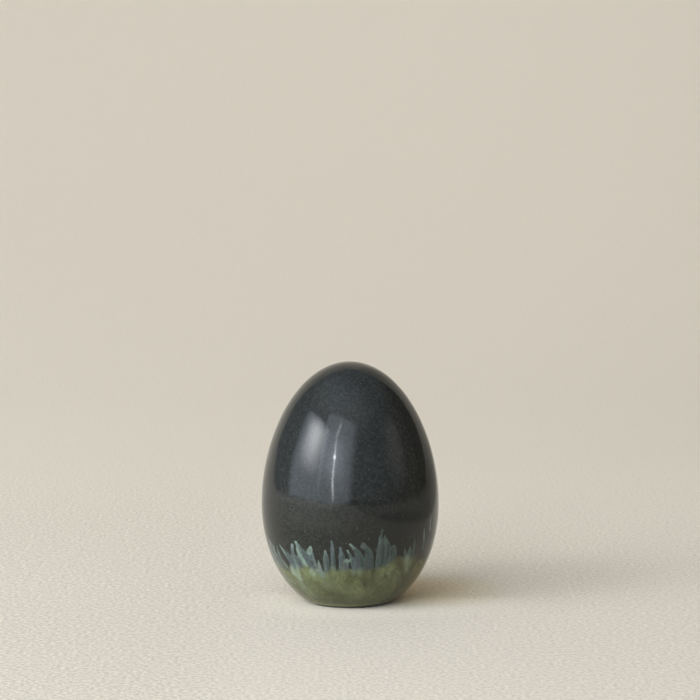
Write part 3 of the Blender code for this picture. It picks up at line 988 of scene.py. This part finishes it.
    def _measure(self, points: np.ndarray, stroke: Stroke) -> tuple[np.ndarray, ...]:
        """Find where the points near a mark lie in it.

        Args:
            points: the mesh's points in millimetres.
            stroke: the mark.

        Returns:
            The numbers of the points near it, and for each its depth inside the mark, its share of the
            way from tip to base, and its places across and along the mark in millimetres.
        """
        line = stroke.centreline(self.outline)
        half = stroke.half_widths()
        margin = half.max() + self.reach
        inside = np.all((points > line.min(axis=0) - margin) & (points < line.max(axis=0) + margin), axis=1)
        near = np.flatnonzero(inside)
        offsets = points[near][:, None, :] - line[None, :, :]
        depths = half[None, :] - np.linalg.norm(offsets, axis=2)
        best = depths.argmax(axis=1)
        rows = np.arange(len(near))
        tangent = np.gradient(line, axis=0)
        tangent /= np.linalg.norm(tangent, axis=1, keepdims=True)
        outward = line * np.array((1.0, 1.0, 0.0))
        outward /= np.linalg.norm(outward, axis=1, keepdims=True)
        sideways = np.cross(tangent, outward)
        across = np.einsum("ij,ij->i", offsets[rows, best], sideways[best])
        lengths = np.concatenate([[0.0], np.cumsum(np.linalg.norm(np.diff(line, axis=0), axis=1))])
        return near, depths[rows, best], stroke.shares()[best], across, lengths[best]

    @staticmethod
    def _store(mesh: bpy.types.Mesh, name: str, values: np.ndarray) -> None:
        """Keep one number or vector for each point of the mesh under a name."""
        is_vector = values.ndim == 2
        attribute = mesh.attributes.new(name, "FLOAT_VECTOR" if is_vector else "FLOAT", "POINT")
        attribute.data.foreach_set("vector" if is_vector else "value", values.astype(np.float32).ravel())


def new_material(name: str) -> tuple[bpy.types.Material, Tree]:
    """A material without nodes, and the tree to fill."""
    material = bpy.data.materials.new(name)
    material.use_nodes = True
    return material, Tree(material.node_tree)


@dataclass(frozen=True)
class Pattern:
    """A noise that a finish reads.

    Attributes:
        density: waves per unit of the place it is read at.
        detail: finer layers on top of the first.
        roughness: strength of the finer layers.
        upright: factor on the place's Z; below 1 it draws the pattern out up the piece.
    """

    density: float
    detail: float = 2.0
    roughness: float = 0.5
    upright: float = 1.0

    def read(self, tree: Tree, place: Any) -> Value:
        """The pattern's value at a place, around 0.5."""
        if self.upright != 1.0:
            place = tree.scaled(place, (1.0, 1.0, self.upright))
        return tree.noise(place, self.density, self.detail, self.roughness)


@dataclass(frozen=True)
class Dots:
    """Scattered small dots.

    Attributes:
        density: cells per metre, each of which may hold a dot.
        radius: size of a dot, as a share of its cell.
        empty_share: share of the cells that stay empty.
    """

    density: float
    radius: float
    empty_share: float

    def read(self, tree: Tree, place: Any) -> Value:
        """1 in a dot and 0 elsewhere."""
        cells = tree.add("ShaderNodeTexVoronoi", None, {"Vector": place, "Scale": self.density})
        split = tree.add("ShaderNodeSeparateColor", None, {0: cells.outputs["Color"]})
        chance = Value(tree, split.outputs["Red"])
        distance = Value(tree, cells.outputs["Distance"])
        return (1.0 - distance.step(0.5 * self.radius, self.radius)) * (chance > self.empty_share)


@dataclass(frozen=True)
class GlazeMaterial:
    """The egg's fired glazes in one material: dark body, brushed blades, green band and bare clay foot.

    Colours are linear reflectances, tints multiply a colour, and depths and radii are in millimetres.
    """

    dark_high: Colour = (0.0111, 0.0141, 0.0149)
    dark_left: Colour = (0.0113, 0.0144, 0.0128)
    # Painted shade: the low body on the right, much darker than on the left
    dark_right_painted_shade: Colour = (0.0033, 0.0046, 0.0034)
    dark_cloud: Pattern = Pattern(170.0, 3.0, 0.6)
    mottle: Pattern = Pattern(1100.0, 3.0, 0.75)
    mottle_tint: Colour = (2.3, 2.05, 1.95)
    specks: Dots = Dots(900.0, 0.18, 0.72)
    speck: Colour = (0.11, 0.125, 0.12)
    pits: Dots = Dots(700.0, 0.20, 0.55)
    pit: Colour = (0.006, 0.007, 0.006)

    moss_light: Colour = (0.130, 0.146, 0.063)
    moss_deep: Colour = (0.090, 0.100, 0.038)
    moss_bright: Colour = (0.152, 0.177, 0.076)
    moss_streaks: Pattern = Pattern(800.0, 3.0, 0.6, 0.22)
    moss_patches: Pattern = Pattern(190.0, 3.0, 0.55, 0.6)
    moss_grain: Pattern = Pattern(1500.0, 2.0, 0.6)
    moss_grain_tint: Colour = (0.68, 0.68, 0.65)

    ragged_edge: Pattern = Pattern(2100.0, 2.0, 0.6, 0.35)
    ragged_depth: float = 0.42
    brush_pull: Pattern = Pattern(2.6, 3.0, 0.65)
    blotches: Pattern = Pattern(1300.0, 3.0, 0.65)
    wash_cloud: Pattern = Pattern(1100.0, 3.0, 0.65, 0.45)

    foot_line: Colour = (0.172, 0.192, 0.060)
    # Painted contact shadow along the bottom of the foot
    foot_edge: Colour = (0.006, 0.005, 0.003)
    foot_waver: Pattern = Pattern(300.0)
    clay: Colour = (0.42, 0.34, 0.25)
    clay_deep: Colour = (0.30, 0.235, 0.165)
    clay_grit: Pattern = Pattern(2600.0, 3.0, 0.7)
    clay_waver: Pattern = Pattern(420.0)
    clay_radius: float = 11.8

    ior: float = 1.5
    body_roughness: float = 0.09
    clay_roughness: float = 0.85
    sheen: Pattern = Pattern(260.0)
    sheen_spread: float = 0.05
    peel: Pattern = Pattern(330.0, 2.0, 0.4)
    peel_depth: float = 0.010
    fine: Pattern = Pattern(900.0, 3.0, 0.55)
    fine_depth: float = 0.0012
    grit_depth: float = 0.06

    def build(self) -> bpy.types.Material:
        """Make the material."""
        material, tree = new_material("fired glaze")
        place = tree.add("ShaderNodeTexCoord").outputs["Object"]
        right, _, up = tree.axes(place)
        right, up = right / MM, up / MM
        clay = self._clay_share(tree, place, up)
        colour = self._dark(tree, place, right, up)
        colour = self._green(tree, place, up, colour)
        colour = self._blades(tree, place, colour)
        colour = self._washes(tree, place, colour)
        colour = self._foot(tree, place, right, up, colour)
        bare = tree.mix(self.clay_grit.read(tree, place).step(0.45, 0.75), self.clay, self.clay_deep)
        roughness = self.body_roughness + self.sheen_spread * (self.sheen.read(tree, place) - 0.5)
        roughness = roughness + clay * (self.clay_roughness - self.body_roughness)
        shader = tree.add("ShaderNodeBsdfPrincipled", None, {
            "Base Color": tree.mix(clay, colour, bare), "Roughness": roughness, "IOR": self.ior,
            "Normal": self._relief(tree, place, clay)})
        tree.add("ShaderNodeOutputMaterial", None, {"Surface": shader.outputs[0]})
        return material

    def _dark(self, tree: Tree, place: Any, right: Value, up: Value) -> Any:
        """The blue-black body, more olive lower down and painted darker on the right as shade, with mottling
        and specks.
        """
        # Painted shade: the low body darkens from left to right
        low = tree.mix(right.step(-17.0, 17.0), self.dark_left, self.dark_right_painted_shade)
        rise = up + 14.0 * (self.dark_cloud.read(tree, place) - 0.5)
        colour = tree.mix(rise.step(20.0, 44.0), low, self.dark_high)
        mottle = self.mottle.read(tree, place).step(0.40, 0.64)
        colour = tree.mix(mottle, colour, tree.tinted(colour, self.mottle_tint))
        colour = tree.mix(0.70 * self.specks.read(tree, place), colour, self.speck)
        return tree.mix(0.8 * self.pits.read(tree, place), colour, self.pit)

    def _green(self, tree: Tree, place: Any, up: Value, under: Any) -> Any:
        """The mossy green band, with a ragged upper border that runs down in places."""
        streaks = self.moss_streaks.read(tree, place)
        patches = self.moss_patches.read(tree, place)
        grain = self.moss_grain.read(tree, place).step(0.44, 0.62)
        light = (0.62 * patches + 0.38 * streaks).step(0.40, 0.62)
        body = tree.mix(light, self.moss_deep, self.moss_light)
        fresh = (up + 5.0 * (patches - 0.5)).step(6.5, 12.5)
        fresh = fresh * (0.55 * streaks + 0.45 * patches).step(0.42, 0.6)
        body = tree.mix(0.65 * fresh, body, self.moss_bright)
        body = tree.mix(grain, body, tree.tinted(body, self.moss_grain_tint))
        share = (2.2 * (streaks - 0.5) - tree.number("shore")).step(-0.75, 0.75)
        return tree.mix(share, under, body)

    def _blades(self, tree: Tree, place: Any, under: Any) -> Any:
        """The brushed blades, ragged at their edges and streaked along the brush's pull."""
        ragged = self.ragged_depth * (self.ragged_edge.read(tree, place) - 0.5)
        edge = tree.number("blade_edge") + ragged
        streak = self.brush_pull.read(tree, tree.attribute("blade_grain", "Vector"))
        light = 0.54 + streak * (2.2 * self.blotches.read(tree, place) - 0.10)
        tone = tree.add("ShaderNodeCombineColor", None, {0: light, 1: light, 2: light}).outputs[0]
        colour = tree.tinted(tree.attribute("blade_colour", "Color"), tone)
        rim = edge.step(-0.05, 0.12) * (1.0 - edge.step(0.16, 0.42))
        colour = tree.mix(0.15 * rim, colour, Pigment.PALE.value)
        above_band = tree.number("shore").step(-1.9, 0.9)
        share = edge.step(-0.10, 0.14) * tree.number("blade_cover") * above_band
        return tree.mix(share.clamped(), under, colour)

    def _washes(self, tree: Tree, place: Any, under: Any) -> Any:
        """Soft runs and stains over the blades and the green band, with painted light and shade among them.
        """
        share = tree.number("wash_light_and_shade_cover") * (0.35 + 1.3 * self.wash_cloud.read(tree, place))
        return tree.mix(share.clamped(), under, tree.attribute("wash_light_and_shade_colour", "Color"))

    def _foot(self, tree: Tree, place: Any, right: Value, up: Value, under: Any) -> Any:
        """The brighter line where the glaze collected above the foot, faded on the right as painted shade,
        and the dark edge under it, which is a painted contact shadow, thicker on the right.
        """
        height = up + 0.7 * (self.foot_waver.read(tree, place) - 0.5)
        # Painted shade: the glaze line fades out towards the right
        glaze_line_shaded_right = 0.75 - 0.65 * right.step(0.0, 9.0)
        line = height.step(0.5, 0.9) * (1.0 - height.step(1.1, 1.7))
        colour = tree.mix(glaze_line_shaded_right * line, under, self.foot_line)
        # Painted contact shadow: a near-black band along the bottom, thicker on the right
        rise = up - 0.40 * right.step(-3.0, 9.0)
        return tree.mix(1.0 - rise.step(0.50, 0.80), colour, self.foot_edge)

    def _clay_share(self, tree: Tree, place: Any, up: Value) -> Value:
        """1 on the unglazed underside and 0 on the glaze."""
        flat = tree.scaled(place, (1.0, 1.0, 0.0))
        across = tree.add("ShaderNodeVectorMath", {"operation": "LENGTH"}, {0: flat})
        radius = Value(tree, across.outputs["Value"]) / MM + 1.4 * (self.clay_waver.read(tree, place) - 0.5)
        return (1.0 - up.step(0.02, 0.12)) * (1.0 - radius.step(self.clay_radius, self.clay_radius + 0.5))

    def _relief(self, tree: Tree, place: Any, clay: Value) -> Any:
        """Normal of the finely uneven surface: orange peel on the glaze and grit on the clay."""
        height = (
            self.peel_depth * self.peel.read(tree, place)
            + self.fine_depth * self.fine.read(tree, place)
            + self.grit_depth * clay * self.clay_grit.read(tree, place))
        bump = tree.add("ShaderNodeBump", None, {"Strength": 1.0, "Distance": MM, "Height": height})
        return bump.outputs["Normal"]


@dataclass(frozen=True)
class PaleFloor:
    """The floor's finish: plain and pale with a faint grain, and painted shade past the picture's edges.

    Colours are linear reflectances, tints multiply a colour, and distances are in metres from the egg.
    """

    near: Colour = (0.864, 0.788, 0.676)
    middle: Colour = (0.902, 0.823, 0.708)
    wall: Colour = (0.828, 0.740, 0.622)
    # Painted light: the floor's colour by the foot and on the left
    bright: Colour = (0.985, 0.91, 0.78)
    # Painted shade: the colour the floor darkens to past the picture's edges
    shaded: Colour = (0.19, 0.17, 0.14)
    # Painted shadow: the warm tint of the floor in the egg's shadow, and where it lies
    shadow_tint: Colour = (0.93, 0.855, 0.70)
    shadow_right: float = 0.022
    shadow_back: float = 0.014
    shadow_core: float = 0.006
    shadow_reach: float = 0.033
    grain: Pattern = Pattern(800.0, 2.0, 0.6)
    grain_tint: Colour = (0.78, 0.77, 0.76)
    grain_strength: float = 0.45
    grain_depth: float = 0.4 * MM
    roughness: float = 0.9
    gloss: float = 0.1

    def build(self) -> bpy.types.Material:
        """Make the material."""
        material, tree = new_material("pale floor")
        place = tree.add("ShaderNodeTexCoord").outputs["Object"]
        right, back, _ = tree.axes(place)
        grain = self.grain.read(tree, place)
        pale = self._pale(tree, right, back, grain)
        bump = tree.add("ShaderNodeBump", None, {
            "Strength": self.grain_strength, "Distance": self.grain_depth, "Height": grain})
        shader = tree.add("ShaderNodeBsdfPrincipled", None, {
            "Base Color": tree.mix(self._lit(right, back), self.shaded, pale), "Roughness": self.roughness,
            "Specular IOR Level": self.gloss, "Normal": bump.outputs["Normal"]})
        tree.add("ShaderNodeOutputMaterial", None, {"Surface": shader.outputs[0]})
        return material

    @staticmethod
    def _lit(right: Value, back: Value) -> Value:
        """Share of the floor's own colour that shows; the rest is painted shade.

        It is 1 round the egg. Past the edges of the picture it falls, because the glaze mirrors those parts
        of the floor and they have to look dim in it.

        Args:
            right: distance to the right of the egg.
            back: distance behind the egg.

        Returns:
            The share; the rest is the shaded colour.
        """
        left, front = -1.0 * right, -1.0 * back
        beside = right + 0.14 * front
        # Close by on the right, less so in front of the egg
        shade = (0.55 - 0.25 * back.step(0.40, 0.90)) * beside.step(0.104, 0.142)
        shade = shade * (1.0 - 0.75 * beside.step(0.15, 0.27) * front.step(-0.10, 0.05))
        # Round the camera, and far off on the right
        lit = (1.0 - shade) * (1.0 - front.step(0.30, 0.95) * right.step(-0.25, 0.10))
        lit = lit * (1.0 - 0.30 * beside.step(0.30, 0.80) * (1.0 - back.step(0.30, 0.80)))
        # Far off on the left, then a gentle painted fall-off of light across the sweep and up it
        lit = lit * (1.0 - 0.17 * left.step(0.45, 0.85) * back.step(0.10, 0.50))
        lit = lit * (1.0 - 0.085 * left.step(-0.16, 0.24) * back.step(0.22, 0.66))
        return lit * (1.0 - 0.040 * back.step(0.28, 0.46) * (1.0 - back.step(0.80, 1.0)))

    def _pale(self, tree: Tree, right: Value, back: Value, grain: Value) -> Any:
        """The floor's own colour.

        It changes from near to wall with a lighter middle band, as painted light and shade. It has painted
        light by the foot and on the left, a painted warm tint in the egg's shadow, and flecks of its grain
        near the camera, stronger on the left as painted raking light.

        Args:
            tree: the tree to add to.
            right: distance to the right of the egg.
            back: distance behind the egg.
            grain: the floor's grain, around 0.5.

        Returns:
            The colour.
        """
        left, front = -1.0 * right, -1.0 * back
        # Painted light and shade: the colour steps from near to wall, with a lighter middle band
        pale = tree.mix(back.step(0.05, 0.70), self.near, self.wall)
        pale = tree.mix(back.step(-0.05, 0.04) * (1.0 - back.step(0.18, 0.42)), pale, self.middle)
        # Painted light: a bright patch hugs the foot in front and is drawn out to the right, and another
        # lies on the left
        drawn_in = right * (1.0 - 0.45 * right.step(0.0, 0.01))
        from_egg = tree.math("SQRT", drawn_in * drawn_in + back * back)
        painted_light_by_foot = (front + 0.35 * tree.math("MAXIMUM", left, 0.0)).step(-0.006, 0.003)
        painted_light_by_foot = painted_light_by_foot * (1.0 - from_egg.step(0.014, 0.036))
        painted_light_on_left = left.step(0.08, 0.24) * front.step(-0.10, 0.05)
        pale = tree.mix(tree.math("MAXIMUM", painted_light_by_foot, painted_light_on_left), pale, self.bright)
        # Painted shadow: a warm tint where the egg's shadow falls
        aside, behind = right - self.shadow_right, back - self.shadow_back
        away = tree.math("SQRT", aside * aside + behind * behind)
        in_shadow = 1.0 - away.step(self.shadow_core, self.shadow_reach)
        pale = tree.mix(in_shadow, pale, tree.tinted(pale, self.shadow_tint))
        flecks = grain.step(0.35, 0.65) * (1.0 - back.step(0.05, 0.40)) * (1.0 - 0.6 * painted_light_by_foot)
        # Painted raking light: the flecks are stronger on the left
        flecks = flecks * (0.80 + 0.45 * left.step(0.02, 0.06))
        return tree.mix(flecks, pale, tree.tinted(pale, self.grain_tint))


@dataclass(frozen=True)
class Fade:
    """How far in from each edge a light falls off, as a share of its width or height.

    Left and right are those of its mirror image in the egg, as the camera sees it.
    """

    left: float
    right: float
    low: float
    high: float

    def share(self, across: Value, along: Value) -> Value:
        """Share of the light's strength at a place on it.

        Args:
            across: 0 at the light's left edge and 1 at its right edge.
            along: 0 at its lower edge and 1 at its upper edge.

        Returns:
            The share, 0 at the edges and 1 in the middle.
        """
        sideways = across.step(0.0, self.left) * (1.0 - across).step(0.0, self.right)
        return sideways * along.step(0.0, self.low) * (1.0 - along).step(0.0, self.high)


@dataclass(frozen=True)
class SoftBox:
    """A soft rectangular light, placed by its direction from the egg.

    Attributes:
        name: what it is called in the scene.
        azimuth: its direction in degrees, 0 towards the camera and growing to the right.
        elevation: its direction in degrees above the egg's middle.
        distance: how far it is from the egg's middle.
        width: its size across.
        height: its size upwards.
        radiance: how bright its middle looks.
        tint: its colour.
        fade: how it dims towards its edges.
        tilt: its turn in degrees about the line to the egg, anticlockwise in its mirror image.
    """

    name: str
    azimuth: float
    elevation: float
    distance: float
    width: float
    height: float
    radiance: float
    tint: Colour
    fade: Fade
    tilt: float = 0.0

    def build(self, centre: Vector) -> bpy.types.Object:
        """Make the area light, turned towards the egg's middle and dimmed towards its edges."""
        light = bpy.data.lights.new(self.name, "AREA")
        light.shape = "RECTANGLE"
        light.size = self.width
        light.size_y = self.height
        light.energy = self.radiance * math.pi * self.width * self.height
        light.color = self.tint
        light.use_nodes = True
        tree = Tree(light.node_tree)
        across, along, _ = tree.axes(tree.add("ShaderNodeNewGeometry").outputs["Parametric"])
        glow = tree.add("ShaderNodeEmission", None, {"Strength": self.fade.share(across, along)})
        tree.add("ShaderNodeOutputLight", None, {"Surface": glow.outputs[0]})
        lamp = bpy.data.objects.new(self.name, light)
        turn = math.radians(self.azimuth)
        rise = math.radians(self.elevation)
        towards = Vector((math.sin(turn) * math.cos(rise), -math.cos(turn) * math.cos(rise), math.sin(rise)))
        lamp.location = self.distance * towards + centre
        roll = Matrix.Rotation(math.radians(self.tilt), 3, "Z")
        lamp.rotation_euler = (towards.to_track_quat("Z", "Y").to_matrix() @ roll).to_euler()
        lamp.visible_camera = False
        bpy.context.scene.collection.objects.link(lamp)
        return lamp


@dataclass(frozen=True)
class Studio:
    """The pale floor with its sweep, the camera, the lights and the dim surround.

    Lengths are in metres and angles in degrees. The floor runs on in front, and its sweep starts behind
    the egg. The ambient levels are for the low and the high part of the surround, each with the least
    that it falls to away from the left and the front.

    Attributes:
        centre: the middle of the egg, which the camera and the lights are placed round.
    """

    centre: Vector
    camera_distance: float = 0.80
    camera_elevation: float = 9.0
    camera_pitch: float = 6.148
    camera_roll: float = 0.18
    camera_yaw: float = -0.025
    lens: float = 135.15
    sensor_width: float = 36.0
    floor_half_width: float = 0.98
    floor_front: float = -3.0
    sweep_start: float = 0.30
    sweep_radius: float = 0.70
    sweep_steps: int = 40
    wall_top: float = 1.45
    ambient_low: float = 0.31
    ambient_low_least: float = 0.09
    ambient_high: float = 0.52
    ambient_high_least: float = 0.32
    ambient_left_tint: Colour = (1.00, 1.00, 0.95)
    ambient_right_tint: Colour = (1.14, 0.98, 0.68)
    ambient_high_tint: Colour = (0.94, 1.00, 1.02)

    def build(self) -> None:
        """Set up the floor, the camera, the world and the lights."""
        self.floor()
        self.camera()
        self.world()
        for box in self.soft_boxes():
            box.build(self.centre)

    @staticmethod
    def soft_boxes() -> list[SoftBox]:
        """The lights: a large one on the left, one in front with a bright strip, a dim one on the right.

        After its name, each has azimuth, elevation, distance, width, height, radiance, tint, fade and,
        where it leans, tilt.
        """
        cool: Colour = (0.87, 1.0, 1.16)
        hazy: Colour = (0.90, 1.0, 1.15)
        white: Colour = (1.0, 1.0, 1.02)
        warm: Colour = (1.0, 1.0, 0.96)
        return [
            SoftBox("left box", -64.5, 20.7, 1.20, 1.26, 1.00, 1.4, cool, Fade(0.22, 0.16, 0.035, 0.06)),
            SoftBox("left box core", -61.5, 26.0, 1.15, 0.94, 0.74, 8.0, white,
                    Fade(0.56, 0.48, 0.64, 0.29)),
            SoftBox("front box", -18.0, 24.0, 1.30, 1.24, 1.36, 1.18, hazy,
                    Fade(0.08, 0.24, 0.03, 0.06), -7.0),
            SoftBox("front box glow", -23.0, 25.0, 1.30, 1.14, 1.06, 2.0, hazy,
                    Fade(0.45, 0.50, 0.44, 0.52), -6.0),
            SoftBox("strip", -22.9, 18.6, 1.28, 0.046, 0.96, 10.6, white, Fade(0.25, 0.25, 0.19, 0.34)),
            SoftBox("strip top", -20.2, 41.5, 1.28, 0.050, 0.36, 4.5, white,
                    Fade(0.25, 0.25, 0.35, 0.35), -26.0),
            SoftBox("strip glint", -22.9, 23.8, 1.27, 0.085, 0.095, 27.0, white, Fade(0.5, 0.5, 0.5, 0.5)),
            SoftBox("right box", 68.5, 22.0, 1.30, 0.88, 1.04, 0.32, warm,
                    Fade(0.5, 0.3, 0.45, 0.3), -22.0),
        ]

    def floor(self) -> bpy.types.Object:
        """One sheet: flat under the egg, then curved up into the wall behind it."""
        profile = [(self.floor_front, 0.0)]
        for step in range(self.sweep_steps + 1):
            angle = 0.5 * math.pi * step / self.sweep_steps
            y = self.sweep_start + self.sweep_radius * math.sin(angle)
            profile.append((y, self.sweep_radius * (1.0 - math.cos(angle))))
        profile.append((self.sweep_start + self.sweep_radius, self.wall_top))
        verts = []
        for y, z in profile:
            verts += [(-self.floor_half_width, y, z), (self.floor_half_width, y, z)]
        faces = [(2 * i, 2 * i + 1, 2 * i + 3, 2 * i + 2) for i in range(len(profile) - 1)]
        mesh = bpy.data.meshes.new("floor")
        mesh.from_pydata(verts, [], faces)
        mesh.shade_smooth()
        mesh.materials.append(PaleFloor().build())
        floor = bpy.data.objects.new("floor", mesh)
        bpy.context.scene.collection.objects.link(floor)
        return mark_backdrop(floor)

    def camera(self) -> bpy.types.Object:
        """The camera, at the photograph's height and angle."""
        camera = bpy.data.cameras.new("camera")
        camera.lens = self.lens
        camera.sensor_width = self.sensor_width
        camera.clip_start = 0.05
        camera.clip_end = 50.0
        viewer = bpy.data.objects.new("camera", camera)
        rise = math.radians(self.camera_elevation)
        viewer.location = self.centre + self.camera_distance * Vector((0.0, -math.cos(rise), math.sin(rise)))
        viewer.rotation_euler = tuple(
            math.radians(angle) for angle in (90.0 - self.camera_pitch, self.camera_roll, self.camera_yaw))
        bpy.context.scene.collection.objects.link(viewer)
        bpy.context.scene.camera = viewer
        return viewer

    def world(self) -> None:
        """A dim surround, lighter overhead, towards the front and towards the left."""
        world = bpy.data.worlds.new("surround")
        world.use_nodes = True
        tree = Tree(world.node_tree)
        right, back, up = tree.axes(tree.add("ShaderNodeTexCoord").outputs["Generated"])
        low = self.ambient_low - 0.12 * right - 0.12 * back - 0.10 * back.step(0.10, 0.50)
        low = tree.math("MAXIMUM", low, self.ambient_low_least)
        high = tree.math("MAXIMUM", self.ambient_high - 0.55 * right - 0.75 * back, self.ambient_high_least)
        rise = up.step(0.56, 0.92)
        strength = low + rise * (high - low)
        far_right = (right + 0.6 * back).step(0.3, 1.1)
        low_tint = tree.mix(far_right, self.ambient_left_tint, self.ambient_right_tint)
        colour = tree.mix(rise, low_tint, self.ambient_high_tint)
        background = tree.add("ShaderNodeBackground", None, {"Color": colour, "Strength": strength})
        tree.add("ShaderNodeOutputWorld", None, {"Surface": background.outputs[0]})
        bpy.context.scene.world = world


def main() -> None:
    """Build the studio and the egg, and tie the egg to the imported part."""
    logging.basicConfig(level=logging.INFO, format="%(message)s")
    log = logging.getLogger("egg")
    bpy.context.scene.view_settings.view_transform = "Standard"
    low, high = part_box(NODE)
    outline = EggOutline(breadth=high.x - low.x, height=high.z - low.z)
    Studio(centre=Vector((0.0, 0.0, 0.5 * (low.z + high.z)))).build()
    piece = EggSurface(outline).build(GlazeMaterial().build())
    Brushwork(outline).paint(piece.data)
    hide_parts(NODE)
    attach(piece, BODY)
    log.info("%s: %d faces", piece.name, len(piece.data.polygons))


if __name__ == "__main__":
    main()
